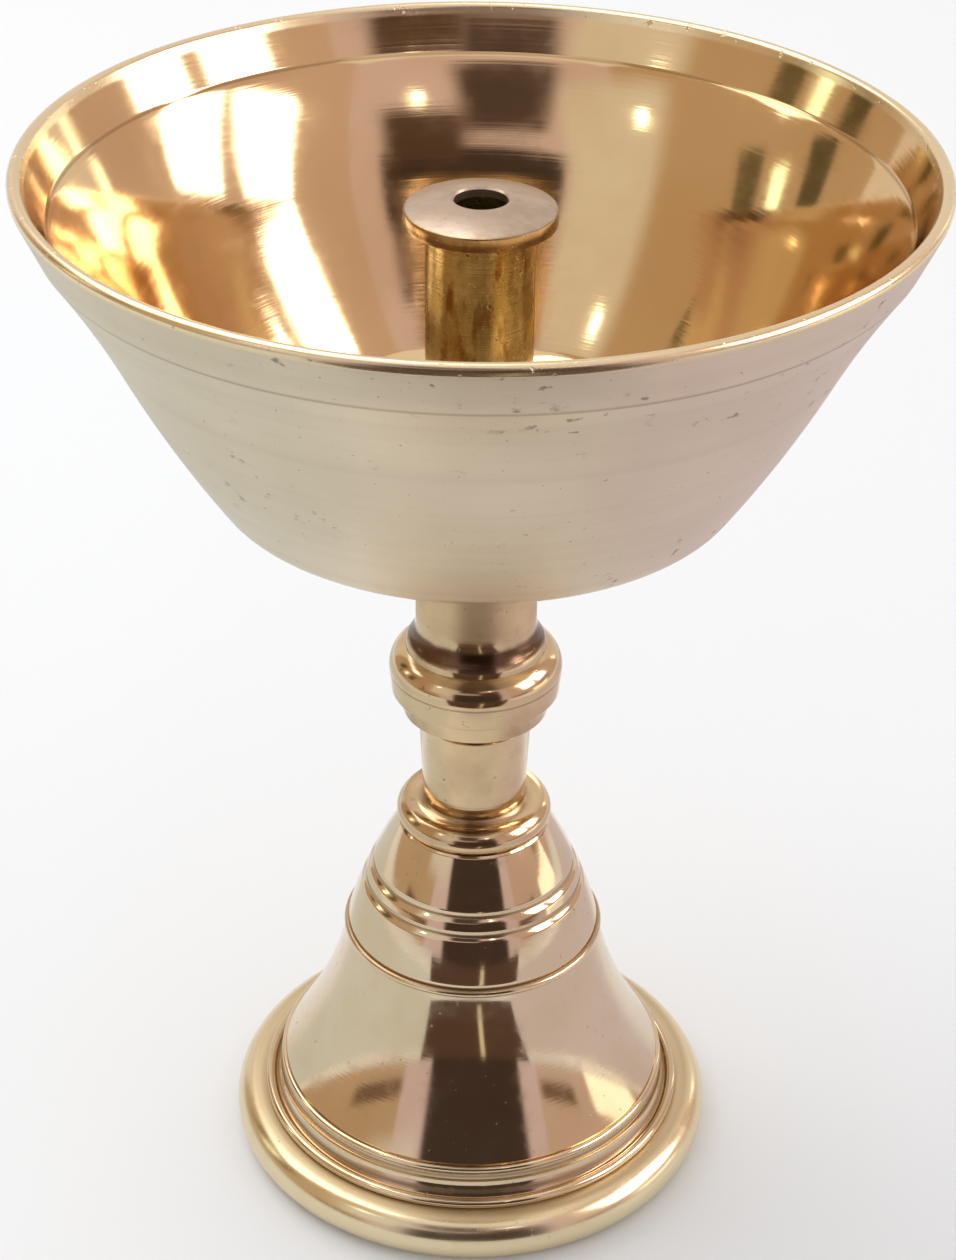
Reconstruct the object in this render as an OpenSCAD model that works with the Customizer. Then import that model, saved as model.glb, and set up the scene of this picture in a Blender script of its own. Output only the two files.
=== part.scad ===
// Brass diya: an oil bowl with an upright wick holder, on a turned stem and a hollow bell foot.
// The pieces are turned separately and screw together, so that the lamp comes apart for cleaning.
// Z = 0 is the surface that it stands on, and +Z is the axis of every turned piece.

/* [Bell base] */
// Outside diameter of the rounded bead that the lamp stands on
base_d = 45; // [36:0.5:60]
// Height of the crown, the flat that the stem's collar sits on
base_h = 34.5; // [28:0.5:46]
// Diameter of the crown
crown_d = 13.6; // [13:0.1:16]
// Thickness of the crown, which the stem's stud passes through
crown_t = 3.5; // [2.5:0.1:4.5]
// Wall thickness of the bell
bell_wall = 1.8; // [1.4:0.1:2.2]
// Diameter of the waist, where the dome ends and the flare begins
waist_d = 23.4; // [20:0.2:27]
// Distance of the waist below the crown
waist_drop = 11.9; // [10:0.1:14]
// Radius of the foot bead's section
foot_bead_r = 2.3; // [1.8:0.1:2.8]
// Radius of the raised ring just inside the foot bead
ridge_r = 0.45; // [0.3:0.05:0.6]
// Depth to which the flare sags below a straight cone
flare_sag = 0.8; // [0.3:0.1:1.5]
// Amount by which the dome swells beyond a straight cone
dome_bulge = 0.4; // [0.05:0.05:0.7]
// Radius of the small beads at the waist and at the foot of the flare
waist_bead_r = 0.36; // [0.25:0.01:0.5]
// Distance of the first line on the dome below the crown
line_drop = 4.9; // [4:0.1:6]
// Distance between the dome's two lines
line_pitch = 1.6; // [1:0.1:2.2]
// Width of each line turned into the dome
line_w = 0.7; // [0.4:0.1:1]
// Depth of each line turned into the dome
line_depth = 0.25; // [0.1:0.05:0.4]

/* [Stem] */
// Diameter of the collar that sits on the crown
collar_d = 13.9; // [12:0.1:16]
// Height of the collar
collar_h = 2.2; // [1.6:0.1:3.2]
// Depth of the cove between the collar and the column
cove_sag = 0.35; // [0.1:0.05:0.6]
// Diameter of the column at its foot
column_foot_d = 9.2; // [8:0.1:11]
// Diameter of the column at its top
column_top_d = 10; // [8.6:0.1:12]
// Height of the column
column_h = 8.2; // [5:0.2:12]
// Diameter of the plain ring under the knop
ring_d = 13; // [12:0.1:14.4]
// Height of the plain ring under the knop
ring_h = 1.6; // [1.2:0.1:3]
// Largest diameter of the knop
knop_d = 15.3; // [14.6:0.1:19]
// Height of the knop
knop_h = 4.9; // [4:0.1:6.5]
// Diameter of the shoulder above the knop
shoulder_d = 12.2; // [11.6:0.1:13.6]
// Diameter of the neck under the bowl
neck_d = 10.6; // [10:0.1:11.2]
// Height of the neck
neck_h = 6.6; // [4:0.2:12]

/* [Bowl] */
// Outside diameter of the bowl's rim
bowl_d = 75; // [62:0.5:95]
// Height of the bowl, from the face that sits on the stem to the rim
bowl_h = 35.6; // [29:0.2:45]
// Wall thickness of the bowl
bowl_wall = 1.3; // [1:0.1:1.8]
// Diameter of the knee, where the sloping wall turns in to the floor
knee_d = 45.2; // [37:0.2:55]
// Height of the knee above the face that sits on the stem
knee_h = 8; // [7:0.1:10]
// Radius of the bend at the knee, inside and outside
knee_r = 2.5; // [1.5:0.1:3]
// Height above the face that sits on the stem at which the wall's belly turns into its flare
turn_h = 21.3; // [17:0.1:22]
// Angle in degrees that the wall's belly and its flare turn through either side of straight, on the outside
wall_swing = 4; // [2:0.5:8]
// The same angle on the inside, where the wall is thinned in the belly and left thicker in the flare
inner_swing = 8; // [3:0.5:10]
// Height of the plain band round the rim
band_h = 3.7; // [2.5:0.1:5]
// Lean of the band from upright, in degrees
band_lean = 24; // [8:1:30]
// Amount by which the band stands out from the wall below it
band_step = 0.2; // [0.15:0.05:0.6]
// Radius of the rounded lip
lip_r = 0.6; // [0.45:0.05:0.75]
// Diameter of the boss under the bowl
boss_d = 12; // [11:0.1:13.5]
// Height of the boss under the bowl
boss_h = 1; // [0.5:0.1:1.5]
// Thickness of the bowl's floor at its centre, boss included
floor_t = 5.4; // [4.8:0.1:6.4]

/* [Wick holder] */
// Height of the holder above the bowl's floor, without its seal
holder_h = 26.2; // [18:0.2:32]
// Outside diameter of the holder's tube
tube_d = 9; // [7.4:0.1:10.8]
// Diameter of the hole that the wick stands in
wick_bore_d = 4.4; // [3.4:0.1:5.4]
// Diameter of the flange that catches the soot and drips
flange_d = 12.6; // [11:0.1:16]
// Thickness of the flange at its edge
flange_t = 1.3; // [0.8:0.1:2.2]
// Rise of the flange's coned face, from its edge to the hole
flange_rise = 0.9; // [0.3:0.1:1.4]
// Diameter of the holes that let the oil in to the wick
feed_hole_d = 2.4; // [1.6:0.1:3]
// Height of those holes' centres above the tube's foot
feed_hole_z = 3.2; // [2.6:0.1:5]

/* [Threads, nut and seals] */
// Diameter of the stud that holds the stem in the bell
stud_d = 6; // [5:0.1:7.2]
// Diameter of the spigot that holds the bowl on the stem
spigot_d = 8; // [7:0.1:9.6]
// Diameter of the wick holder's spigot
holder_spigot_d = 6; // [5:0.1:7.2]
// Length of thread that each spigot has in the bowl
thread_l = 2.4; // [1.8:0.1:2.4]
// Radial gap between a thread's two halves
thread_gap = 0.05; // [0.02:0.01:0.1]
// Radial gap round the stud in the crown
stud_gap = 0.2; // [0.1:0.05:0.4]
// Distance across the nut's flats
nut_af = 10; // [8:0.5:11]
// Height of the nut
nut_h = 5; // [4:0.2:6]
// Outside diameter of the washer under the crown
washer_d = 12; // [10:0.5:14]
// Thickness of the washer under the crown
washer_t = 1.2; // [0.8:0.1:1.6]
// Thickness of the seal under the bowl and of the one under the wick holder
seal_t = 0.6; // [0.4:0.1:0.8]
// Inset of each seal's edge from the piece that it lies under
seal_inset = 0.3; // [0.1:0.1:0.6]

/* [Hidden] */
$fn = 96;
arc_n = 10;          // chords in a long arc
cut = 1;             // overrun of a cutting solid
edge = 0.3;          // bevel that breaks a turned edge

// Heights of the stack, from the ground up
collar_top = base_h + collar_h;
column_foot = collar_top + 0.3;
column_top = column_foot + column_h;
ring_foot = column_top + 1.2;
knop_foot = ring_foot + ring_h + 0.6;
knop_top = knop_foot + knop_h;
neck_foot = knop_top + 2;
neck_top = neck_foot + neck_h;
bowl_foot = neck_top + seal_t;
bowl_top = bowl_foot + bowl_h;
bowl_floor = bowl_foot + floor_t;
holder_foot = bowl_floor + seal_t;
holder_top = holder_foot + holder_h;
washer_top = base_h - crown_t;
nut_top = washer_top - washer_t;
nut_foot = nut_top - nut_h;
stud_end = nut_foot - 1.2;

brass = [0.86, 0.72, 0.45];
steel = [0.72, 0.71, 0.68];
fibre = [0.36, 0.22, 0.14];

// Points along an arc about c, from angle a0 to angle a1
function arc(c, r, a0, a1, n = arc_n) =
    [for (i = [0:n]) let (a = a0 + (a1 - a0) * i / n) c + r * [cos(a), sin(a)]];

// Points of an arc from p to q that sags to the right of the way from p to q, without its two ends
function sag_arc(p, q, sag, n = arc_n) =
    let (
        chord = norm(q - p),
        r = (chord * chord / 4 + sag * sag) / (2 * sag),
        way = (q - p) / chord,
        right = [way[1], -way[0]],
        centre = (p + q) / 2 + right * (sag - r),
        half = asin(chord / 2 / r),
        a_mid = atan2(right[1], right[0])
    )
    [for (i = [1:n - 1]) let (a = a_mid - half + 2 * half * i / n) centre + r * [cos(a), sin(a)]];

// Sag of an arc between two points that turns through an angle from the chord at each end
function swing_sag(p, q, angle) = norm(q - p) / 2 * tan(angle / 2);

// Point on the line from p to q at height z
function at_z(p, q, z) = [p[0] + (q[0] - p[0]) * (z - p[1]) / (q[1] - p[1]), z];

// A turned solid with the given half section
module turned(section) {
    rotate_extrude() polygon(section);
}

// A ring of round section, centred at radius c[0] and height c[1]
module turned_bead(c, r) {
    rotate_extrude() translate(c) circle(r);
}

// Hollow foot: a rounded bead on the ground, a raised ring, a flare up to the waist, and a dome
module bell_base() {
    bead_x = base_d / 2 - foot_bead_r;
    bead_z = foot_bead_r - 0.1;
    ridge_x = bead_x - 0.9;
    ridge_z = bead_z + foot_bead_r + 0.3;
    flare_foot = [ridge_x - 1.4, ridge_z + 2.9];
    waist_z = base_h - waist_drop;
    waist = [waist_d / 2, waist_z];
    crown = [crown_d / 2, base_h];
    dome_foot = waist + [-0.15, 1];
    dome_way = (crown - dome_foot) / norm(crown - dome_foot);
    dome_out = [dome_way[1], -dome_way[0]];
    line_out = dome_bulge + line_w / 2 - line_depth;
    cup_r = washer_d / 2 + 0.6;
    hollow_foot = [bead_x - bell_wall, -cut];
    hollow_step = [flare_foot[0] - bell_wall * 0.9, flare_foot[1] - bell_wall];
    hollow_waist = [waist[0] - bell_wall, waist_z - 0.5];
    color(brass) difference() {
        union() {
            // Foot bead, flat where it meets the ground
            intersection() {
                turned_bead([bead_x, bead_z], foot_bead_r);
                cylinder(r = base_d, h = base_h);
            }
            // Raised ring inside the bead, small ridge at the foot of the flare, and bead at the waist
            turned_bead([ridge_x, ridge_z], ridge_r);
            turned_bead(flare_foot - [0.1, 0.2], waist_bead_r);
            turned_bead(waist + [-0.1, 0.3], waist_bead_r);
            turned(concat(
                [[0, 0], [bead_x - 0.6, 0], [bead_x, bead_z], [ridge_x, ridge_z]],
                [[ridge_x - 0.9, ridge_z + 0.9], flare_foot],
                sag_arc(flare_foot, waist, -flare_sag),
                [waist, dome_foot],
                sag_arc(dome_foot, crown, dome_bulge, 6),
                [crown, [0, base_h]]
            ));
        }
        // Hollow under the bell
        turned(concat(
            [[0, -cut], hollow_foot, [hollow_foot[0], 2.2], hollow_step],
            sag_arc(hollow_step, hollow_waist, -flare_sag),
            [hollow_waist, [cup_r, washer_top - washer_t], [cup_r, washer_top], [0, washer_top]]
        ));
        // Hole for the stem's stud
        cylinder(r = stud_d / 2 + stud_gap, h = base_h + cut);
        // Two lines round the dome
        for (drop = [line_drop, line_drop + line_pitch])
            turned_bead(at_z(dome_foot, crown, base_h - drop) + dome_out * line_out, line_w / 2);
    }
}

// Plain washer that spreads the nut's pull under the crown
module crown_washer() {
    color(brass) translate([0, 0, nut_top]) difference() {
        cylinder(d = washer_d, h = washer_t);
        translate([0, 0, -cut]) cylinder(r = stud_d / 2 + stud_gap, h = washer_t + 2 * cut);
    }
}

// Hexagon nut that holds the stem down on the bell
module crown_nut() {
    color(steel) difference() {
        intersection() {
            translate([0, 0, nut_foot]) cylinder(d = nut_af / cos(30), h = nut_h, $fn = 6);
            // Bevelled corners
            turned([
                [0, nut_foot], [nut_af / 2 - 0.1, nut_foot],
                [nut_af / 2 + 1.2, nut_foot + 0.7], [nut_af / 2 + 1.2, nut_top - 0.7],
                [nut_af / 2 - 0.1, nut_top], [0, nut_top]
            ]);
        }
        translate([0, 0, nut_foot - cut]) cylinder(r = stud_d / 2 + thread_gap, h = nut_h + 2 * cut);
    }
}

// Baluster turned from one bar: stud, collar, column, ring, knop, neck and spigot
module stem() {
    stud_r = stud_d / 2;
    spigot_r = spigot_d / 2;
    spigot_end = bowl_foot + thread_l;
    collar_r = collar_d / 2;
    knop_r = knop_d / 2;
    crease_z = knop_foot + knop_h * 0.42;
    color(brass) turned(concat(
        [[0, stud_end], [stud_r - edge, stud_end], [stud_r, stud_end + edge], [stud_r, base_h]],
        // Collar, with a rounded side, and the shallow cove up to the column
        [[collar_r - 0.35, base_h]],
        sag_arc([collar_r - 0.35, base_h], [collar_r - 0.6, collar_top], 0.5, 6),
        [[collar_r - 0.6, collar_top]],
        sag_arc([collar_r - 0.6, collar_top], [column_foot_d / 2, column_foot], -cove_sag, 6),
        [[column_foot_d / 2, column_foot], [column_top_d / 2, column_top]],
        // Ring and knop
        [[column_top_d / 2 + 0.5, column_top + 0.7], [ring_d / 2 - edge, ring_foot], [ring_d / 2, ring_foot + edge]],
        [[ring_d / 2, ring_foot + ring_h], [knop_r - 0.2, knop_foot], [knop_r, crease_z]],
        arc([knop_r - 2.2, crease_z + 0.2], 2.2, 5, 70, 6),
        // Shoulder and the cove up to the neck
        [[shoulder_d / 2, knop_top - 0.1], [shoulder_d / 2 - 0.1, knop_top + 0.3]],
        sag_arc([shoulder_d / 2 - 0.1, knop_top + 0.3], [neck_d / 2, neck_foot], -0.15, 5),
        [[neck_d / 2, neck_foot], [neck_d / 2, neck_top - edge], [neck_d / 2 - edge, neck_top]],
        [[spigot_r, neck_top], [spigot_r, spigot_end - edge], [spigot_r - edge, spigot_end], [0, spigot_end]]
    ));
}

// Flat ring between the neck and the bowl
module bowl_seal() {
    color(fibre) translate([0, 0, neck_top]) difference() {
        cylinder(r = neck_d / 2 - seal_inset, h = seal_t);
        translate([0, 0, -cut]) cylinder(r = spigot_d / 2 + thread_gap, h = seal_t + 2 * cut);
    }
}

// Oil bowl: a wall that bellies out and then flares, with an upright band at the rim, turned in at the knee
// to a thick floor with a boss
module bowl() {
    lip = [bowl_d / 2 - lip_r, bowl_top - lip_r];
    lip_out = lip + lip_r * [cos(band_lean), -sin(band_lean)];
    lip_in = lip - lip_r * [cos(band_lean), -sin(band_lean)];
    band_foot = bowl_top - band_h - 0.8;
    // Outside of the wall, from the knee to the turn and from the turn to the band
    knee = [knee_d / 2, bowl_foot + knee_h];
    wall_top = [lip_out[0] - (lip_out[1] - band_foot) * tan(band_lean) - band_step, band_foot - 0.3];
    turn = at_z(knee, wall_top, bowl_foot + turn_h);
    lean = atan2(wall_top[1] - knee[1], wall_top[0] - knee[0]);
    end_out = [sin(lean - wall_swing), -cos(lean - wall_swing)];
    turn_out = [sin(lean + wall_swing), -cos(lean + wall_swing)];
    bend_c = knee - end_out * knee_r;
    bend_end = lean - wall_swing - 90;
    // Inside of the wall
    in_knee = knee - end_out * bowl_wall;
    in_turn = turn - turn_out * bowl_wall;
    in_top = wall_top - end_out * bowl_wall;
    in_end_out = [sin(lean - inner_swing), -cos(lean - inner_swing)];
    in_bend_end = lean - inner_swing - 90;
    in_band = [lip_in[0] - (lip_in[1] - in_top[1] - 0.15) * tan(band_lean), in_top[1] + 0.15];
    boss_r = boss_d / 2;
    hole_step = bowl_foot + floor_t / 2;
    color(brass) difference() {
        turned(concat(
            [[0, bowl_foot], [boss_r - edge, bowl_foot], [boss_r, bowl_foot + edge], [boss_r, bowl_foot + boss_h]],
            arc(bend_c, knee_r, -68, bend_end, 4),
            sag_arc(knee, turn, swing_sag(knee, turn, wall_swing)),
            [turn],
            sag_arc(turn, wall_top, -swing_sag(turn, wall_top, wall_swing), 8),
            [wall_top, wall_top + [band_step, 0.3]],
            arc(lip, lip_r, -band_lean, 180 - band_lean, 8),
            [in_band, in_top],
            sag_arc(in_top, in_turn, swing_sag(in_top, in_turn, inner_swing), 8),
            [in_turn],
            sag_arc(in_turn, in_knee, -swing_sag(in_turn, in_knee, inner_swing)),
            arc(in_knee - in_end_out * knee_r, knee_r, in_bend_end, -82, 5),
            [[tube_d / 2 + 2, bowl_floor], [0, bowl_floor]]
        ));
        // Tapped hole for the stem's spigot, and the smaller one for the wick holder's
        translate([0, 0, bowl_foot - cut]) cylinder(r = spigot_d / 2 + thread_gap, h = floor_t / 2 + cut);
        translate([0, 0, hole_step - cut]) cylinder(r = holder_spigot_d / 2 + thread_gap, h = floor_t + cut);
    }
}

// Flat ring between the bowl's floor and the wick holder
module wick_seal() {
    color(fibre) translate([0, 0, bowl_floor]) difference() {
        cylinder(r = tube_d / 2 - seal_inset, h = seal_t);
        translate([0, 0, -cut]) cylinder(r = holder_spigot_d / 2 + thread_gap, h = seal_t + 2 * cut);
    }
}

// Upright tube with a flange round its top. The wick stands in its bore, and oil comes in near its foot
module wick_holder() {
    spigot_r = holder_spigot_d / 2;
    spigot_end = bowl_floor - thread_l;
    tube_r = tube_d / 2;
    flange_r = flange_d / 2;
    flange_edge = holder_top - flange_rise;
    bore_floor = holder_foot + feed_hole_z - feed_hole_d / 2 - 0.4;
    color(brass) difference() {
        turned([
            [0, spigot_end], [spigot_r - edge, spigot_end], [spigot_r, spigot_end + edge],
            [spigot_r, holder_foot], [tube_r - 0.2, holder_foot], [tube_r, holder_foot + 0.2],
            [tube_r, flange_edge - flange_t - 0.5], [tube_r + 0.5, flange_edge - flange_t],
            [flange_r - 0.2, flange_edge - flange_t], [flange_r, flange_edge - flange_t + 0.2],
            [flange_r, flange_edge - 0.15], [flange_r - 0.15, flange_edge],
            [wick_bore_d / 2 + 0.2, holder_top], [0, holder_top]
        ]);
        translate([0, 0, bore_floor]) cylinder(d = wick_bore_d, h = holder_h + cut);
        // Oil holes, right through the tube in two directions
        for (a = [0, 90])
            translate([0, 0, holder_foot + feed_hole_z]) rotate([90, 0, a])
                cylinder(d = feed_hole_d, h = tube_d + 2 * cut, center = true);
    }
}

bell_base();
crown_washer();
crown_nut();
stem();
bowl_seal();
bowl();
wick_seal();
wick_holder();
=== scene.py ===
"""A small brass oil lamp: a flared oil bowl with an upright wick holder, on a turned stem and a hollow bell.

Lengths are in millimetres, and MM turns them into the scene's metres. Only the room is laid out in metres.
"""

import bpy
import math
from mathutils import Matrix, Vector


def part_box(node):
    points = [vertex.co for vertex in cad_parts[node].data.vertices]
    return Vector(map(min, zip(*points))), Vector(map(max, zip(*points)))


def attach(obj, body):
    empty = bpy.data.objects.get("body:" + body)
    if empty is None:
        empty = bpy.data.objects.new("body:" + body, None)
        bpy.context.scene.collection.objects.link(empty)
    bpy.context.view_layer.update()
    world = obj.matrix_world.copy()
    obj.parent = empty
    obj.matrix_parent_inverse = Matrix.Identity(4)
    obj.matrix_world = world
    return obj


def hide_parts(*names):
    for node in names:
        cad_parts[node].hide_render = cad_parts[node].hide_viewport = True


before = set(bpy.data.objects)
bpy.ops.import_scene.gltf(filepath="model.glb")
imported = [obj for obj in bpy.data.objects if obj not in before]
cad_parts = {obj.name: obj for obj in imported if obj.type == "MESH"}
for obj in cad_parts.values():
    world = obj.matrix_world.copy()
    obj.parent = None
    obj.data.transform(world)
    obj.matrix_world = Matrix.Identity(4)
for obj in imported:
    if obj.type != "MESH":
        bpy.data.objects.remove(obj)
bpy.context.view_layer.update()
bpy.ops.object.select_all(action="DESELECT")


# --------------------------------------------------------------------------------------------------------
# Camera
# A hand-held close-up: the lens looks down on the rim from in front, and is turned a little about its own
# axis. Nothing is out of focus.
# --------------------------------------------------------------------------------------------------------

MM = 0.001
lens_place = Vector((0.8, -212, 184.4))
focal_length = 81.1
nearest_seen = 5
look_down = math.radians(31.56)
look_left = math.radians(0.17)
hand_roll = math.radians(0.7)

bpy.ops.object.camera_add(location=lens_place * MM)
camera = bpy.context.object
camera.name = "camera"
camera.rotation_euler = (
    Matrix.Rotation(look_left, 3, "Z")
    @ Matrix.Rotation(math.pi / 2 - look_down, 3, "X")
    @ Matrix.Rotation(hand_roll, 3, "Z")
).to_euler()
camera.data.lens = focal_length
camera.data.clip_start = nearest_seen * MM
bpy.context.scene.camera = camera


# --------------------------------------------------------------------------------------------------------
# Table and light
# A pale table top under soft daylight. The polished metal shows little but what stands round it, so plain
# cards stand where a room has its window, its door, and the dark figure of whoever holds the camera.
# Lengths in this section are in metres, but for the patches on the table.
# --------------------------------------------------------------------------------------------------------

class Value:
    """A socket of a material's nodes, which takes part in ordinary sums."""

    def __init__(self, tree, socket=None):
        self.tree = tree
        self.socket = socket

    def node(self, kind, settings=None, inputs=None, output=0):
        """Adds a node, with its settings and the values or links of its sockets, and returns one output."""
        made = self.tree.nodes.new("ShaderNode" + kind)
        for name, value in (settings or {}).items():
            setattr(made, name, value)
        for name, value in (inputs or {}).items():
            if isinstance(value, Value):
                self.tree.links.new(value.socket, made.inputs[name])
            else:
                made.inputs[name].default_value = value
        return Value(self.tree, made.outputs[output])

    def sum(self, operation, first, second=0.0):
        return self.node("Math", {"operation": operation}, {0: first, 1: second})

    def __add__(self, other):
        return self.sum("ADD", self, other)

    def __sub__(self, other):
        return self.sum("SUBTRACT", self, other)

    def __rsub__(self, other):
        return self.sum("SUBTRACT", other, self)

    def __mul__(self, other):
        return self.sum("MULTIPLY", self, other)

    def __truediv__(self, other):
        return self.sum("DIVIDE", self, other)

    def __pow__(self, other):
        return self.sum("POWER", self, other)

    def __abs__(self):
        return self.sum("ABSOLUTE", self)

    __radd__ = __add__
    __rmul__ = __mul__

    def clamped(self):
        return self.node("Clamp", {}, {"Value": self, "Min": 0.0, "Max": 1.0})

    def ramp(self, low, high):
        """0 up to low, 1 from high, and smooth between them."""
        return self.node("MapRange", {"interpolation_type": "SMOOTHSTEP"},
                         {"Value": self, "From Min": low, "From Max": high})

    def axis(self, number):
        """One part of a vector: 0, 1 or 2 for X, Y or Z."""
        return self.node("SeparateXYZ", {}, {0: self}, output=number)


def glow(name, colour, strength, soft=None):
    """A material that gives off even light, faded out over a soft share of a card at each of its edges."""
    material = bpy.data.materials.new(name)
    material.use_nodes = True
    tree = material.node_tree
    shader = tree.nodes["Principled BSDF"]
    shader.inputs["Base Color"].default_value = (0, 0, 0, 1)
    shader.inputs["Roughness"].default_value = 1
    shader.inputs["Specular IOR Level"].default_value = 0
    shader.inputs["Emission Color"].default_value = (*colour, 1)
    shader.inputs["Emission Strength"].default_value = strength
    if soft:
        place = Value(tree).node("TexCoord", output=3)
        fades = [(0.5 - abs(place.axis(i))).ramp(0.0, soft) for i in (0, 1)]
        clear = place.node("BsdfTransparent")
        lit = Value(tree, shader.outputs[0])
        whole = place.node("MixShader", {}, {0: fades[0] * fades[1], 1: clear, 2: lit})
        tree.links.new(whole.socket, tree.nodes["Material Output"].inputs["Surface"])
    return material


def seen_in_metal_only(screen):
    """The screen is there for reflections: it doesn't show itself, or light or shade the table."""
    screen.visible_camera = False
    screen.visible_diffuse = False
    screen.visible_shadow = False


def card(name, azimuth, elevation, distance, width, height, colour, strength=1.0, soft=0.12):
    """A flat card that faces the lamp, at a bearing and a height in degrees and a distance in metres."""
    way = Vector((
        math.cos(math.radians(elevation)) * math.cos(math.radians(azimuth)),
        math.cos(math.radians(elevation)) * math.sin(math.radians(azimuth)),
        math.sin(math.radians(elevation)),
    ))
    bpy.ops.mesh.primitive_plane_add(size=1, location=lamp_middle + way * distance)
    made = bpy.context.object
    made.name = name
    made.scale = (width, height, 1)
    made.rotation_euler = way.to_track_quat("Z", "Y").to_euler()
    made.data.materials.append(glow(name + "_glow", colour, strength, soft))
    seen_in_metal_only(made)


table_size = 8
room_size = 3.0
room_middle = (0, 0, 1.45)
lamp_middle = Vector((0, 0, 0.06))
sky_place = Vector((-0.4, 0.3, 0.9))

bpy.ops.mesh.primitive_plane_add(size=table_size, location=(0, 0, 0))
table = bpy.context.object
table.name = "table_top"
table_finish = bpy.data.materials.new("table_finish")
table_finish.use_nodes = True
table_shader = table_finish.node_tree.nodes["Principled BSDF"]
table_shader.inputs["Base Color"].default_value = (0.80, 0.80, 0.80, 1)
table_shader.inputs["Roughness"].default_value = 0.6
table.data.materials.append(table_finish)

# The room's four walls and ceiling, all round the table
bpy.ops.mesh.primitive_cube_add(size=room_size, location=room_middle)
room = bpy.context.object
room.name = "room"
room.data.materials.append(glow("side_wall_glow", (0.58, 0.42, 0.28), 1.0))
room.data.materials.append(glow("ceiling_glow", (0.92, 0.86, 0.80), 1.0))
room.data.materials.append(glow("window_wall_glow", (0.66, 0.49, 0.42), 1.0))
room.data.materials.append(glow("back_wall_glow", (0.86, 0.78, 0.72), 1.0))
room.data.materials.append(glow("front_wall_glow", (0.72, 0.58, 0.62), 1.0))
for side in room.data.polygons:
    if side.normal.z > 0.5:
        side.material_index = 1
    elif side.normal.x > 0.5:
        side.material_index = 2
    elif side.normal.y > 0.5:
        side.material_index = 3
    elif side.normal.y < -0.5:
        side.material_index = 4
seen_in_metal_only(room)

card("window_far_pane", 10, 30, 0.9, 0.29, 0.46, (1.0, 0.95, 0.95), 7.0)
card("window_near_pane", -15, 30, 0.9, 0.29, 0.46, (1.0, 0.95, 0.95), 7.0)
card("window_sill", 0, -1, 0.6, 0.3, 0.1, (1.0, 0.92, 0.80), 1.8)
card("door_light", 166, 18, 0.8, 0.07, 0.2, (0.90, 1.0, 0.78), 2.6)
card("door_left", 153, 20, 0.85, 0.13, 0.3, (0.12, 0.10, 0.05))
card("door_right", 177, 20, 0.85, 0.13, 0.3, (0.16, 0.13, 0.07))
card("shelf", 8, 8, 0.7, 0.36, 0.07, (0.42, 0.28, 0.18), 1.0, 0.2)
card("dark_left", -150, 2, 0.78, 0.5, 0.07, (0.20, 0.12, 0.08), 1.0, 0.2)
card("dark_right", -33, 2, 0.78, 0.36, 0.07, (0.20, 0.12, 0.08), 1.0, 0.2)
card("streak", 45, 12, 0.8, 0.06, 0.26, (1.0, 1.0, 0.86), 3.0, 0.3)
card("figure", -87, 6, 0.8, 1.0, 0.86, (0.06, 0.04, 0.032), 1.0, 0.07)
card("figure_head", -98, 47, 0.8, 0.4, 0.36, (0.09, 0.06, 0.05), 1.0, 0.2)
card("figure_arm", -70, 35, 0.8, 0.4, 0.26, (0.10, 0.06, 0.045), 1.0, 0.2)
card("pale_wall", -135, 32, 0.9, 0.55, 0.7, (0.80, 0.76, 0.72), 1.0, 0.2)
card("lamp_glint", -67, 46, 0.7, 0.04, 0.05, (1.0, 0.98, 0.9), 6.0)
card("far_glint", -145, 40, 0.7, 0.04, 0.06, (1.0, 0.98, 0.9), 6.0)

# Two patches on the table, one on either side of the lamp, give the metal cool light and pink light
patch_width = 200
patch_length = 420
for name, middle, colour in (
    ("cool_light", (-130, 0, 0.5), (0.75, 0.78, 0.77)),
    ("pink_light", (130, 0, 0.5), (0.72, 0.65, 0.70)),
):
    bpy.ops.mesh.primitive_plane_add(size=1, location=Vector(middle) * MM)
    patch = bpy.context.object
    patch.name = name
    patch.scale = (patch_width * MM, patch_length * MM, 1)
    patch.data.materials.append(glow(name + "_glow", colour, 1.0, 0.08))
    seen_in_metal_only(patch)

# In front lies the shadow of whoever holds the camera, with a chink of light in it. Both widen away from the
# lamp: each end is given by its left side, its right side and its distance in Y.
for name, height, near, far, colour in (
    ("shadow_in_front", 1.0, (-46, 44, -76), (-560, 700, -780), (0.11, 0.065, 0.045)),
    ("gap_in_shadow", 1.5, (7, 12, -92), (85, 120, -640), (0.84, 0.76, 0.56)),
):
    bpy.ops.mesh.primitive_plane_add(size=1, location=(0, 0, 0))
    patch = bpy.context.object
    patch.name = name
    corners = ((far[0], far[2]), (far[1], far[2]), (near[0], near[2]), (near[1], near[2]))
    for vertex, corner in zip(patch.data.vertices, corners):
        vertex.co = Vector((*corner, height)) * MM
    patch.data.materials.append(glow(name + "_glow", colour, 1.0))
    seen_in_metal_only(patch)

bpy.ops.object.light_add(type="AREA", location=sky_place)
sky_light = bpy.context.object
sky_light.name = "sky_light"
sky_light.data.shape = "SQUARE"
sky_light.data.size = 0.8
sky_light.data.energy = 4
sky_light.rotation_euler = (sky_place - lamp_middle).to_track_quat("Z", "Y").to_euler()
sky_light.visible_camera = False

world = bpy.data.worlds.new("daylight")
bpy.context.scene.world = world
world.use_nodes = True
world.node_tree.nodes["Background"].inputs["Color"].default_value = (0.97, 0.98, 1.0, 1)
world.node_tree.nodes["Background"].inputs["Strength"].default_value = 0.9
bpy.context.scene.view_settings.view_transform = "Standard"


# --------------------------------------------------------------------------------------------------------
# Bell base
# A hollow brass casting turned outside: a rounded bead on the ground, a raised ring, a flare, and a dome
# with two fine lines. It is polished bright, and its hollow is left rough from the mould.
# --------------------------------------------------------------------------------------------------------

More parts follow.
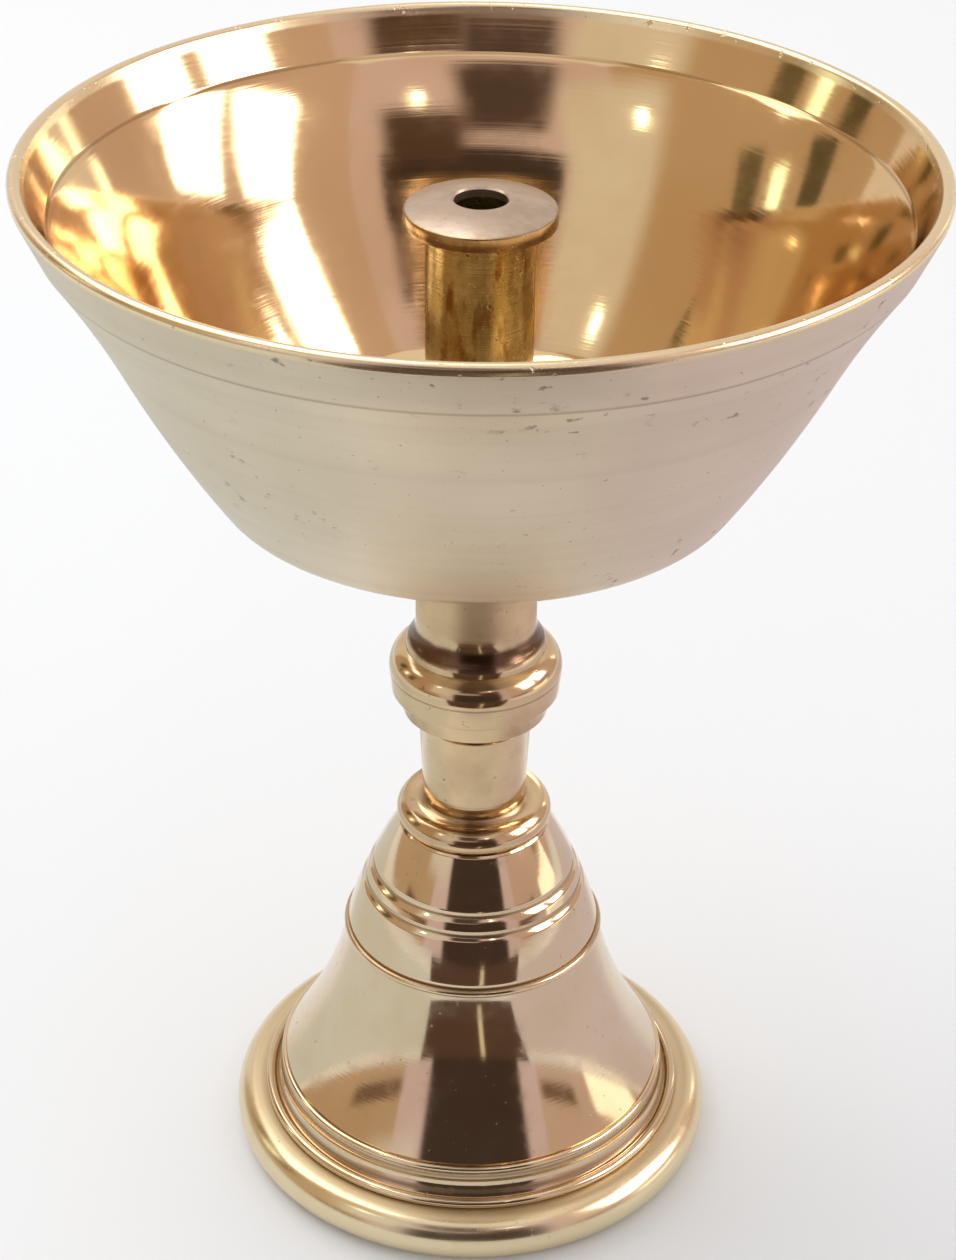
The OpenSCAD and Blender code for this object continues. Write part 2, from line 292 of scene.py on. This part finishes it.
def arc(centre, radius, start, end, steps=10):
    """Points along an arc of an outline, from one angle to another, in degrees."""
    angles = [math.radians(start + (end - start) * i / steps) for i in range(steps + 1)]
    return [(centre[0] + radius * math.cos(a), centre[1] + radius * math.sin(a)) for a in angles]


def swell(start, end, rise, steps=12):
    """Points between two points of an outline, along an arc that swells to the right of the way by rise."""
    way = Vector(end) - Vector(start)
    right = Vector((way.y, -way.x)).normalized()
    shares = [i / steps for i in range(1, steps)]
    return [tuple(Vector(start) + way * share + right * rise * 4 * share * (1 - share)) for share in shares]


def turn(name, outline, facets=256, smooth=32):
    """Draws an outline, given as radius and height in millimetres, and turns it about the lamp's axis."""
    first = Vector((outline[0][0], 0, outline[0][1]))
    bpy.ops.mesh.primitive_plane_add(size=1 * MM, location=(0, 0, 0))
    piece = bpy.context.object
    piece.name = name
    piece.data.name = name
    bpy.ops.object.mode_set(mode="EDIT")
    bpy.ops.mesh.select_all(action="SELECT")
    bpy.ops.mesh.merge(type="CENTER")
    bpy.ops.transform.translate(value=first * MM)
    last = first
    for radius, height in outline[1:]:
        point = Vector((radius, 0, height))
        bpy.ops.mesh.extrude_region_move(TRANSFORM_OT_translate={"value": (point - last) * MM})
        last = point
    if outline[0][0] > 0:
        # A ring: the outline's last point is joined to its first
        bpy.ops.mesh.select_all(action="DESELECT")
        bpy.ops.object.mode_set(mode="OBJECT")
        for vertex in piece.data.vertices:
            vertex.select = any((vertex.co / MM - end).length < 1e-3 for end in (first, last))
        bpy.ops.object.mode_set(mode="EDIT")
        bpy.ops.mesh.edge_face_add()
    bpy.ops.mesh.select_all(action="SELECT")
    bpy.ops.mesh.spin(steps=facets, angle=math.tau, center=(0, 0, 0), axis=(0, 0, 1))
    bpy.ops.mesh.select_all(action="SELECT")
    bpy.ops.mesh.remove_doubles(threshold=1e-6)
    bpy.ops.mesh.normals_make_consistent(inside=False)
    bpy.ops.object.mode_set(mode="OBJECT")
    bpy.ops.object.shade_smooth_by_angle(angle=math.radians(smooth))
    piece.select_set(False)
    return piece


def blend(amount, first, second):
    """Colours mixed by an amount that varies over the surface."""
    return amount.node("Mix", {"data_type": "RGBA"}, {0: amount, 6: first, 7: second}, output=2)


class Turned:
    """A finish, and what its pattern is worked out from: the place, the radius and the height."""

    def __init__(self, name):
        self.material = bpy.data.materials.new(name)
        self.material.use_nodes = True
        self.tree = self.material.node_tree
        self.shader = self.tree.nodes["Principled BSDF"]
        metres = Value(self.tree).node("TexCoord", output=3)
        self.place = metres.node("VectorMath", {"operation": "SCALE"}, {0: metres, "Scale": 1 / MM})
        self.height = self.place.axis(2)
        self.radius = (self.place.axis(0) ** 2.0 + self.place.axis(1) ** 2.0) ** 0.5

    def noise(self, size, detail=3.0, stretch=(1, 1, 1), roughness=0.5):
        """Cloudy noise from 0 to 1 whose patches are about size millimetres across."""
        scaled = self.place.node("Mapping", {}, {"Vector": self.place, "Scale": stretch})
        inputs = {"Vector": scaled, "Scale": 1 / size, "Detail": detail, "Roughness": roughness}
        return self.place.node("TexNoise", {}, inputs)

    def rings(self, size, detail=2.0):
        """Fine rings round the axis, from 0 to 1 and about size millimetres apart, as left by a lathe."""
        across = self.place.node("CombineXYZ", {}, {"X": self.radius / size, "Y": self.height / size})
        return self.place.node("TexNoise", {}, {"Vector": across, "Scale": 1.0, "Detail": detail})

    def crease_shade(self, value, *places):
        """1 in each crease, falling to 0 beside it, for shade painted into the creases. A crease is given as
        its place and half its width.
        """
        dark = 0.0
        for middle, half_width in places:
            dark = (1 - abs(value - middle) / half_width).clamped() + dark
        return dark.clamped()

    def set(self, colour, roughness, metallic=1.0, bump=None, bump_height=0.02):
        """Sends the finished pattern to the shader. The bump's height is in millimetres."""
        for name, value in (("Base Color", colour), ("Roughness", roughness), ("Metallic", metallic)):
            if isinstance(value, Value):
                self.tree.links.new(value.socket, self.shader.inputs[name])
            else:
                self.shader.inputs[name].default_value = value
        if bump is not None:
            normal = bump.node("Bump", {}, {"Height": bump, "Distance": bump_height * MM, "Strength": 1.0})
            self.tree.links.new(normal.socket, self.shader.inputs["Normal"])
        return self.material


bell_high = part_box("bell_base")[1] / MM
crown_z = bell_high.z
crown_r = 6.8
stud_hole_r = 3.2
edge = 0.15
mouth_r = 18.4
mouth_top = 2.2
bead_r = 2.3
bead = (bell_high.x - bead_r, bead_r - 0.1)
ridge_r = 0.45
bead_top = bead[1] + bead_r
ridge = (bead[0] - 0.9, bead_top + 0.3)
flare_foot = (ridge[0] - 1.4, ridge[1] + 2.9)
flare_sag = 0.8
fine_bead_r = 0.36
waist = (11.7, crown_z - 11.9)
dome_foot = (waist[0] - 0.15, waist[1] + 1)
dome_bulge = 0.4
line_drops = (4.9, 6.5)
line_half = 0.4
line_depth = 0.24
hollow_step = (flare_foot[0] - 1.62, flare_foot[1] - 1.8)
hollow_waist = (waist[0] - 1.8, waist[1] - 0.5)
cup_r = 6.6
washer_low, washer_high = (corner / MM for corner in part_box("crown_washer"))

dome = swell(dome_foot, (crown_r, crown_z), dome_bulge, 60)
for drop in line_drops:
    for i, (radius, height) in enumerate(dome):
        away = abs(height - (crown_z - drop)) / line_half
        if away < 1:
            dome[i] = (radius - line_depth * (1 - away ** 2), height)
bell_outline = (
    [(mouth_r, 0.2), (mouth_r + 0.2, 0)]
    + arc(bead, bead_r, -72, 96, 30)
    + arc(ridge, ridge_r, -50, 160, 12)
    + swell((ridge[0] - 0.9, ridge[1] + 0.9), (flare_foot[0] + 0.4, flare_foot[1] - 0.6), -0.15, 6)
    + arc((flare_foot[0] - 0.1, flare_foot[1] - 0.2), fine_bead_r, -40, 120, 8)
    + swell(flare_foot, waist, -flare_sag, 40)
    + arc((waist[0] - 0.1, waist[1] + 0.3), fine_bead_r, -70, 110, 10)
    + [dome_foot] + dome
    + [(crown_r, crown_z - edge), (crown_r - edge, crown_z), (stud_hole_r + edge, crown_z)]
    + [(stud_hole_r, crown_z - edge), (stud_hole_r, washer_high.z)]
    + [(cup_r, washer_high.z), (cup_r, washer_low.z), hollow_waist]
    + swell(hollow_waist, hollow_step, flare_sag, 16)
    + [hollow_step, (mouth_r, mouth_top)]
)
bell = turn("bell_shell", bell_outline)
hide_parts("bell_base")
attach(bell, "base")

bell_polish = Turned("bell_polish")
cloud = bell_polish.noise(9, 4)
smudge = bell_polish.noise(2.2, 5, roughness=0.6)
pits = bell_polish.noise(0.55, 2).ramp(0.72, 0.78)
rings = bell_polish.rings(0.25)
# The bell's valleys and its two fine lines are darkened: painted shade in the creases.
crease_shade = bell_polish.crease_shade(
    bell_polish.height,
    (bead_top - 0.05, 0.25), (ridge[1] + 0.7, 0.35), (flare_foot[1] - 0.7, 0.3),
    (waist[1] + 0.05, 0.2), (waist[1] + 0.7, 0.25),
    (crown_z - line_drops[0], 0.2), (crown_z - line_drops[1], 0.2),
)
colour = blend(cloud.ramp(0.35, 0.7), (0.75, 0.61, 0.43, 1), (0.70, 0.55, 0.36, 1))
colour = blend(smudge.ramp(0.55, 0.8) * 0.5, colour, (0.62, 0.50, 0.36, 1))
# Painted shade in the creases.
colour = blend(crease_shade * 0.75, colour, (0.24, 0.14, 0.06, 1))
colour = blend(pits * 0.7, colour, (0.20, 0.13, 0.07, 1))
# The foot bead is satin, so rougher, and is also painted paler: a painted reflection of the pale room above
# it.
satin_bead_and_sheen = 1 - bell_polish.height.ramp(bead_top - 0.5, bead_top + 0.7)
colour = blend(satin_bead_and_sheen * 0.6, colour, (0.84, 0.74, 0.48, 1))
roughness = 0.06 + smudge.ramp(0.45, 0.75) * 0.07 + rings * 0.05
roughness = roughness + crease_shade * 0.3 + pits * 0.3 + satin_bead_and_sheen * 0.12
relief = rings * 0.3 + cloud * 0.2 - pits
bell.data.materials.append(bell_polish.set(colour, roughness, bump=relief, bump_height=0.005))

bell_cast = Turned("bell_cast")
grain = bell_cast.noise(0.7, 4, roughness=0.6)
cloud = bell_cast.noise(6, 3)
colour = blend(cloud.ramp(0.35, 0.65), (0.42, 0.29, 0.15, 1), (0.28, 0.19, 0.11, 1))
colour = blend(grain.ramp(0.5, 0.7), colour, (0.52, 0.38, 0.22, 1))
roughness = 0.5 + grain * 0.25
bell.data.materials.append(bell_cast.set(colour, roughness, 0.9, bump=grain + cloud, bump_height=0.12))
for face in bell.data.polygons:
    inward = face.center.xy.dot(face.normal.xy) <= 0
    if inward and face.normal.z < 0.5 and face.center.z < washer_high.z * MM:
        face.material_index = 1


# --------------------------------------------------------------------------------------------------------
# Washer and nut
# A brass washer cut from sheet lies in the shallow cup under the crown. A zinc plated hexagon nut on the
# stem's stud pulls the stem and the bell together against it.
# --------------------------------------------------------------------------------------------------------

washer_r = 6
washer_outline = [
    (stud_hole_r, washer_low.z + 0.1), (stud_hole_r + edge, washer_low.z), (washer_r - 0.2, washer_low.z),
    (washer_r - 0.05, washer_low.z + 0.08), (washer_r, washer_low.z + 0.25), (washer_r, washer_high.z - 0.1),
    (washer_r - 0.1, washer_high.z), (stud_hole_r + edge, washer_high.z), (stud_hole_r, washer_high.z - 0.1),
]
washer = turn("crown_washer_ring", washer_outline, facets=128)
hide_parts("crown_washer")
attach(washer, "base")

washer_dull = Turned("washer_dull")
cloud = washer_dull.noise(1.6, 4)
colour = blend(cloud.ramp(0.35, 0.65), (0.60, 0.46, 0.26, 1), (0.38, 0.27, 0.14, 1))
roughness = 0.34 + cloud * 0.2
relief = washer_dull.rings(0.3)
washer.data.materials.append(washer_dull.set(colour, roughness, bump=relief, bump_height=0.01))

nut_low, nut_high = (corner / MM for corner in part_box("crown_nut"))
nut_across = 10
nut_bevel = 0.7
nut_thread_r = 3.02
nut_mouth_r = 3.5


def cut_with(piece, tool, operation):
    """Cuts a piece with a second one, which is then thrown away."""
    cutting = piece.modifiers.new("cut", "BOOLEAN")
    cutting.object = tool
    cutting.operation = operation
    cutting.solver = "EXACT"
    bpy.context.view_layer.objects.active = piece
    bpy.ops.object.modifier_apply(modifier="cut")
    bpy.data.objects.remove(tool)


bpy.ops.mesh.primitive_cylinder_add(
    vertices=6, radius=nut_across / math.sqrt(3) * MM, depth=(nut_high.z - nut_low.z) * MM,
    location=(0, 0, (nut_low.z + nut_high.z) / 2 * MM), rotation=(0, 0, math.radians(30)),
)
nut = bpy.context.object
nut.name = "crown_nut_hexagon"
bpy.ops.object.transform_apply(location=True, rotation=True, scale=True)
face_r = nut_across / 2 - 0.1
corner_r = nut_across / 2 + 1.2
bevel_tool = turn("nut_bevel_tool", [
    (0, nut_low.z), (face_r, nut_low.z), (corner_r, nut_low.z + nut_bevel),
    (corner_r, nut_high.z - nut_bevel), (face_r, nut_high.z), (0, nut_high.z),
], facets=96)
cut_with(nut, bevel_tool, "INTERSECT")
mouth_depth = nut_mouth_r - nut_thread_r
bore_tool = turn("nut_bore_tool", [
    (0, nut_low.z - 1), (nut_mouth_r, nut_low.z - 1), (nut_mouth_r, nut_low.z),
    (nut_thread_r, nut_low.z + mouth_depth), (nut_thread_r, nut_high.z - mouth_depth),
    (nut_mouth_r, nut_high.z), (nut_mouth_r, nut_high.z + 1), (0, nut_high.z + 1),
], facets=96)
cut_with(nut, bore_tool, "DIFFERENCE")
bpy.ops.object.shade_smooth_by_angle(angle=math.radians(25))
nut.select_set(False)
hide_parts("crown_nut")
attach(nut, "base")

nut_zinc = Turned("nut_zinc")
spangle = nut_zinc.noise(1.1, 4, roughness=0.6)
rust = nut_zinc.noise(2.4, 5, roughness=0.65).ramp(0.62, 0.74)
colour = blend(spangle.ramp(0.35, 0.65), (0.58, 0.58, 0.57, 1), (0.42, 0.42, 0.41, 1))
colour = blend(rust * 0.8, colour, (0.24, 0.12, 0.06, 1))
roughness = 0.32 + spangle * 0.15 + rust * 0.35
nut.data.materials.clear()
nut.data.materials.append(nut_zinc.set(colour, roughness, 1 - rust * 0.7, bump=spangle, bump_height=0.01))


# --------------------------------------------------------------------------------------------------------
# Stem
# One bar of brass turned to a collar, a column, a ring, a knop and a neck, with a threaded stud under the
# collar and a threaded spigot on top. It has a bright turned finish, duller on the neck, and its corners and
# the cove at the neck's foot are darkened with painted shade.
# --------------------------------------------------------------------------------------------------------

def thread(radius, low, high, pitch=1.0, depth=0.4):
    """The outline of a screw thread's ridges, up a stud or a spigot."""
    made = []
    for i in range(int((high - low) / pitch)):
        foot = low + pitch * i
        root = radius - depth
        made += [(radius, foot + pitch * 0.1), (root, foot + pitch * 0.45)]
        made += [(root, foot + pitch * 0.55), (radius, foot + pitch * 0.9)]
    return made


stem_low, stem_high = (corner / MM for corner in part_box("stem"))
stud_r = 3
collar_r = 6.4
column_foot_r = 4.6
column_top_r = 5
ring_r = 6.5
knop_foot_r = 7.6
knop_r = 7.65
knop_corner_r = 2.2
shoulder_r = 6
neck_r = 5.3
spigot_r = 4
collar_top = crown_z + 2.2
column_foot = collar_top + 0.3
column_top = column_foot + 8.2
ring_foot = column_top + 1.2
knop_foot = ring_foot + 2.2
crease_z = knop_foot + 2.06
knop_top = knop_foot + 4.9
neck_foot = knop_top + 2
neck_top = neck_foot + 6.6
stem_outline = (
    [(0, stem_low.z), (stud_r - 0.6, stem_low.z), (stud_r - 0.3, stem_low.z + 0.1)]
    + thread(stud_r, stem_low.z + 0.3, washer_high.z - 0.7, depth=0.35)
    + [(stud_r, washer_high.z - 0.4), (stud_r, crown_z), (collar_r, crown_z)]
    + swell((collar_r + 0.2, crown_z + 0.05), (collar_r, collar_top - 0.1), 0.5, 12)
    + [(collar_r - 0.05, collar_top - 0.05), (collar_r - edge, collar_top)]
    + swell((collar_r - edge, collar_top), (column_foot_r, column_foot), -0.3, 8)
    + [(column_foot_r, column_foot), (column_foot_r, column_foot + 0.1), (column_top_r, column_top)]
    + [(column_top_r + 0.15, column_top + 0.35), (column_top_r + 0.5, column_top + 0.7)]
    + [(ring_r - 0.25, ring_foot), (ring_r - 0.05, ring_foot + 0.15)]
    + [(ring_r, ring_foot + 0.4), (ring_r, ring_foot + 1.45), (ring_r + 0.05, ring_foot + 1.6)]
    + [(knop_foot_r - 0.25, knop_foot - 0.05), (knop_foot_r - 0.15, knop_foot)]
    + [(knop_foot_r, crease_z - 0.25), (knop_foot_r, crease_z - 0.1), (knop_foot_r + 0.04, crease_z)]
    + arc((knop_r - knop_corner_r, crease_z + 0.2), knop_corner_r, 5, 70, 18)
    + [(shoulder_r + 0.15, knop_top - 0.15), (shoulder_r + 0.1, knop_top), (shoulder_r, knop_top + 0.3)]
    + swell((shoulder_r, knop_top + 0.3), (neck_r, neck_foot), -0.15, 8)
    + [(neck_r, neck_foot), (neck_r, neck_top - 0.25), (neck_r - 0.25, neck_top)]
    + [(spigot_r - 0.1, neck_top), (spigot_r - 0.4, neck_top + 0.3)]
    + thread(spigot_r, neck_top + 0.4, stem_high.z - 0.2)
    + [(spigot_r - 0.3, stem_high.z), (0, stem_high.z)]
)
stem = turn("stem_bar", stem_outline)
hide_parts("stem")
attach(stem, "base")

stem_satin = Turned("stem_satin")
cloud = stem_satin.noise(4, 4)
streaks = stem_satin.noise(1.0, 3, stretch=(1, 1, 0.25))
rings = stem_satin.rings(0.18)
pits = stem_satin.noise(0.6, 2).ramp(0.69, 0.75)
# Painted shade darkens the corners at the column's foot, under the ring and the knop, and in the knop's
# crease.
corner_shade = stem_satin.crease_shade(
    stem_satin.height,
    (column_foot, 0.45), (ring_foot - 0.35, 0.5), (knop_foot - 0.45, 0.3), (crease_z - 0.15, 0.15),
)
# Painted shade, near black and patchy, in the cove at the foot of the neck.
cove_shade = stem_satin.crease_shade(stem_satin.height, (knop_top + 0.9, 1.3))
cove_shade = (cove_shade + cloud * 0.6 - 0.45).ramp(0.1, 0.5)
stains = (cloud * 0.6 + streaks * 0.5).ramp(0.62, 0.74)
colour = blend(cloud.ramp(0.35, 0.7), (0.70, 0.53, 0.32, 1), (0.58, 0.42, 0.25, 1))
colour = blend(stains * 0.45, colour, (0.38, 0.27, 0.15, 1))
colour = blend(corner_shade * 0.7, colour, (0.24, 0.14, 0.07, 1))
# Painted shade in the cove.
colour = blend(cove_shade * 0.9, colour, (0.09, 0.04, 0.025, 1))
colour = blend(pits * 0.6, colour, (0.22, 0.14, 0.08, 1))
dull_neck = (stem_satin.height - neck_foot).ramp(0.0, 1.0) * 0.3
roughness = 0.09 + rings * 0.08 + stains * 0.1 + corner_shade * 0.2 + cove_shade * 0.1 + dull_neck
stem.data.materials.append(stem_satin.set(colour, roughness, bump=rings - pits, bump_height=0.006))


# --------------------------------------------------------------------------------------------------------
# Bowl
# A brass bowl that bellies out a little from its knee and then flares to a plain band at the rim, with a
# tapped boss under its thick floor. It is polished inside, and has the lathe's fine satin lines outside.
# --------------------------------------------------------------------------------------------------------

bowl_low, bowl_high = (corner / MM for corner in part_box("bowl"))
rim_r = bowl_high.x
rim_z = bowl_high.z
boss_r = 6
boss_h = 1
tap_r = 4.05
holder_tap_r = 3.05
dish_r = 6.6
bowl_wall = 1.3
lip_r = 0.6
band_h = 3.7
band_step = 0.2
band_lean = math.radians(24)
knee_r = 2.5
knee = (22.6, bowl_low.z + 8)
turn_h = 21.3
swing = math.radians(4)
inner_swing = math.radians(8)
floor_z = bowl_low.z + 5.4
tap_step = bowl_low.z + 2.7


def along(point, way, distance):
    """A point some distance away from another."""
    return (point[0] + way[0] * distance, point[1] + way[1] * distance)


def swing_sag(start, end, angle):
    """How far an arc between two points swells when both its ends lean from the straight by an angle."""
    return math.dist(start, end) / 2 * math.tan(angle / 2)


lip = (rim_r - lip_r, rim_z - lip_r)
lip_way = (math.cos(band_lean), -math.sin(band_lean))
lip_out = along(lip, lip_way, lip_r)
lip_in = along(lip, lip_way, -lip_r)
band_foot = rim_z - band_h - 0.8
wall_top = (lip_out[0] - (lip_out[1] - band_foot) * math.tan(band_lean) - band_step, band_foot - 0.3)
lean = math.atan2(wall_top[1] - knee[1], wall_top[0] - knee[0])
turning = along(knee, (1 / math.tan(lean), 1), bowl_low.z + turn_h - knee[1])
end_out = (math.sin(lean - swing), -math.cos(lean - swing))
turn_out = (math.sin(lean + swing), -math.cos(lean + swing))
bend_end = math.degrees(lean - swing) - 90
in_bend_end = math.degrees(lean - inner_swing) - 90
in_end_out = (math.sin(lean - inner_swing), -math.cos(lean - inner_swing))
in_knee = along(knee, end_out, -bowl_wall)
in_turning = along(turning, turn_out, -bowl_wall)
in_top = along(wall_top, end_out, -bowl_wall)
in_band = (lip_in[0] - (lip_in[1] - in_top[1] - 0.15) * math.tan(band_lean), in_top[1] + 0.15)

bowl_outline = (
    [(tap_r, bowl_low.z + edge), (tap_r + edge, bowl_low.z), (boss_r - 0.2, bowl_low.z)]
    + [(boss_r, bowl_low.z + 0.25), (boss_r, bowl_low.z + boss_h - 0.1)]
    + [(boss_r + edge, bowl_low.z + boss_h + 0.05)]
    + arc(along(knee, end_out, -knee_r), knee_r, -68, bend_end, 12)
    + swell(knee, turning, swing_sag(knee, turning, swing), 24) + [turning]
    + swell(turning, wall_top, -swing_sag(turning, wall_top, swing), 20)
    + [wall_top, (wall_top[0] + band_step - 0.05, band_foot - 0.08)]
    + [(wall_top[0] + band_step + 0.03, band_foot + 0.1)]
    + arc(lip, lip_r, -24, 156, 20)
    + [(in_band[0] + 0.02, in_band[1] + 0.12), (in_band[0] - 0.06, in_band[1]), in_top]
    + swell(in_top, in_turning, swing_sag(in_top, in_turning, inner_swing), 20) + [in_turning]
    + swell(in_turning, in_knee, -swing_sag(in_turning, in_knee, inner_swing), 24)
    + arc(along(in_knee, in_end_out, -knee_r), knee_r, in_bend_end, -82, 14)
    + [(dish_r, floor_z), (holder_tap_r + edge, floor_z), (holder_tap_r, floor_z - edge)]
    + [(holder_tap_r, tap_step), (tap_r, tap_step)]
)
bowl = turn("oil_bowl", bowl_outline, facets=360)
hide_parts("bowl")
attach(bowl, "bowl")

bowl_polish = Turned("bowl_polish")
cloud = bowl_polish.noise(12, 4)
smudge = bowl_polish.noise(3, 5, roughness=0.6)
rings = bowl_polish.rings(0.3)
nicks = bowl_polish.noise(0.8, 3).ramp(0.66, 0.72) * (bowl_polish.height - (rim_z - 0.9)).ramp(0.0, 0.3)
# Painted shade in the crease where the band meets the wall inside.
crease_shade = bowl_polish.crease_shade(bowl_polish.height, (in_top[1] + 0.05, 0.16))
colour = blend(cloud.ramp(0.35, 0.7), (0.79, 0.59, 0.34, 1), (0.74, 0.53, 0.29, 1))
colour = blend(crease_shade * 0.6, colour, (0.30, 0.19, 0.10, 1))
colour = blend(nicks * 0.7, colour, (0.32, 0.22, 0.13, 1))
# The lip is painted paler, a painted sheen, and is also rougher.
lip_sheen = (bowl_polish.height - (rim_z - 1.0)).ramp(0.0, 0.3)
colour = blend(lip_sheen * 0.6, colour, (0.84, 0.74, 0.52, 1))
roughness = 0.06 + smudge.ramp(0.4, 0.75) * 0.06 + rings * 0.05 + nicks * 0.2 + lip_sheen * 0.14
bowl.data.materials.append(bowl_polish.set(colour, roughness, bump=rings - nicks * 8, bump_height=0.004))

bowl_satin = Turned("bowl_satin")
cloud = bowl_satin.noise(14, 4)
lines = bowl_satin.rings(0.16, 3)
broad = bowl_satin.rings(1.6, 2)
patches = bowl_satin.noise(11, 3).ramp(0.48, 0.6)
scuffs = bowl_satin.noise(1.9, 4, stretch=(1, 1, 1.5), roughness=0.65).ramp(0.60, 0.68) * patches
specks = bowl_satin.noise(0.5, 2).ramp(0.72, 0.76)
# Painted shade under the band's step and round the boss.
crease_shade = bowl_satin.crease_shade(bowl_satin.height, (band_foot - 0.15, 0.22), (bowl_low.z + boss_h, 0.5))
colour = blend(cloud.ramp(0.35, 0.7), (0.75, 0.64, 0.48, 1), (0.70, 0.59, 0.44, 1))
colour = blend(broad.ramp(0.4, 0.7) * 0.3, colour, (0.62, 0.52, 0.38, 1))
colour = blend(scuffs * 0.8, colour, (0.34, 0.27, 0.19, 1))
colour = blend(specks * 0.6, colour, (0.25, 0.20, 0.13, 1))
colour = blend(crease_shade * 0.6, colour, (0.30, 0.20, 0.10, 1))
roughness = 0.24 + lines * 0.14 + cloud * 0.06 + scuffs * 0.15
relief = lines - scuffs * 2 - specks * 2
bowl.data.materials.append(bowl_satin.set(colour, roughness, bump=relief, bump_height=0.004))
for face in bowl.data.polygons:
    outward = face.center.xy.dot(face.normal.xy) > 0
    below_lip = face.center.z < (rim_z - 1.0) * MM
    under_floor = face.center.z < (floor_z - 1) * MM
    if below_lip and (outward or under_floor):
        face.material_index = 1


# --------------------------------------------------------------------------------------------------------
# Seals
# Flat rings of red fibre: one between the stem's neck and the bowl, and one under the wick holder. They are
# cut from sheet, and keep the oil from creeping out along the threads.
# --------------------------------------------------------------------------------------------------------

seal_fibre = Turned("seal_fibre")
strands = seal_fibre.noise(0.35, 4, stretch=(1, 1, 3), roughness=0.65)
oily = seal_fibre.noise(2, 3).ramp(0.4, 0.65)
colour = blend(strands.ramp(0.35, 0.65), (0.24, 0.075, 0.045, 1), (0.36, 0.13, 0.08, 1))
colour = blend(oily * 0.6, colour, (0.12, 0.04, 0.025, 1))
seal_fibre.set(colour, 0.75 - oily * 0.3, 0.0, bump=strands, bump_height=0.03)

seal_bulge = 0.12
for seal_name, bore in (("bowl_seal", tap_r), ("wick_seal", holder_tap_r)):
    seal_low, seal_high = (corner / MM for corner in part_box(seal_name))
    side = seal_high.x - seal_bulge
    seal_outline = (
        [(bore, seal_low.z), (side, seal_low.z)]
        + swell((side, seal_low.z), (side, seal_high.z), seal_bulge, 8)
        + [(side, seal_high.z), (bore, seal_high.z)]
    )
    seal = turn(seal_name + "_ring", seal_outline, facets=96)
    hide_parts(seal_name)
    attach(seal, seal_name)
    seal.data.materials.append(seal_fibre.material)


# --------------------------------------------------------------------------------------------------------
# Wick holder
# A brass tube turned from bar, with a flange that catches soot and drips, and a threaded spigot at its foot.
# Four holes near its foot let the oil in to the wick. The tube is mottled olive and amber, with darker
# streaks up it.
# --------------------------------------------------------------------------------------------------------

holder_low, holder_high = (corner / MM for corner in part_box("wick_holder"))
holder_foot = floor_z + 0.6
holder_spigot_r = 3
thread_root_r = holder_spigot_r - 0.35
tube_r = 4.5
tube_fillet = 0.5
flange_r = 6.3
flange_rise = 0.9
flange_top = holder_high.z - flange_rise
flange_foot = flange_top - 1.3
feed_z = holder_foot + 3.2
feed_r = 1.2
bore_r = 2.2
bore_foot = feed_z - 1.6
holder_outline = (
    [(0, holder_low.z), (thread_root_r - edge, holder_low.z), (thread_root_r, holder_low.z + 0.2)]
    + thread(holder_spigot_r, holder_low.z + 0.3, holder_foot - 0.5, pitch=0.95, depth=0.35)
    + [(thread_root_r, holder_foot - 0.3), (thread_root_r, holder_foot)]
    + [(tube_r - 0.2, holder_foot), (tube_r, holder_foot + 0.2), (tube_r, flange_foot - 0.6)]
    + arc((tube_r + tube_fillet, flange_foot - tube_fillet), tube_fillet, 180, 90, 6)
    + [(flange_r - 0.2, flange_foot), (flange_r - 0.04, flange_foot + 0.08), (flange_r, flange_foot + 0.25)]
    + [(flange_r, flange_top - 0.2), (flange_r - 0.06, flange_top - 0.06)]
    + [(flange_r - 0.2, flange_top + 0.01)]
    + [(bore_r + 0.4, flange_top + 0.82), (bore_r + edge, flange_top + 0.8), (bore_r, flange_top + 0.65)]
    + [(bore_r, bore_foot), (0, bore_foot)]
)
holder = turn("wick_tube", holder_outline, facets=160)
for heading in (0, 90):
    bpy.ops.mesh.primitive_cylinder_add(
        vertices=40, radius=feed_r * MM, depth=12 * MM, location=(0, 0, feed_z * MM),
        rotation=(math.radians(90), 0, math.radians(heading)),
    )
    drill = bpy.context.object
    drill.select_set(False)
    cut_with(holder, drill, "DIFFERENCE")
holder.select_set(True)
bpy.ops.object.shade_smooth_by_angle(angle=math.radians(32))
holder.select_set(False)
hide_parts("wick_holder")
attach(holder, "wick_holder")

holder_brass = Turned("holder_brass")
mottle = holder_brass.noise(1.8, 5, stretch=(1, 1, 0.45), roughness=0.6)
# Darker streaks that run up the tube.
dark_streaks = holder_brass.noise(1.1, 4, stretch=(1, 1, 0.3))
pits = holder_brass.noise(0.5, 3).ramp(0.66, 0.72)
rings = holder_brass.rings(0.14)
on_face = (holder_brass.height - (flange_top - 0.05)).ramp(0.0, 0.1)
on_edge = (holder_brass.radius - (flange_r - 0.4)).ramp(0.0, 0.3) * (1 - on_face)
colour = blend(mottle.ramp(0.38, 0.6), (0.66, 0.57, 0.32, 1), (0.38, 0.30, 0.13, 1))
colour = blend(dark_streaks.ramp(0.5, 0.68), colour, (0.30, 0.17, 0.05, 1))
colour = blend(pits * 0.8, colour, (0.12, 0.07, 0.03, 1))
colour = blend(on_edge * 0.8, colour, (0.30, 0.20, 0.12, 1))
face_colour = blend(mottle.ramp(0.35, 0.7), (0.56, 0.45, 0.36, 1), (0.46, 0.36, 0.27, 1))
colour = blend(on_face, colour, face_colour)
roughness = 0.16 + rings * 0.12 + mottle.ramp(0.4, 0.7) * 0.1 + on_face * 0.1
relief = rings + mottle * 0.5 - pits * 3
holder.data.materials.clear()
holder.data.materials.append(holder_brass.set(colour, roughness, bump=relief, bump_height=0.01))
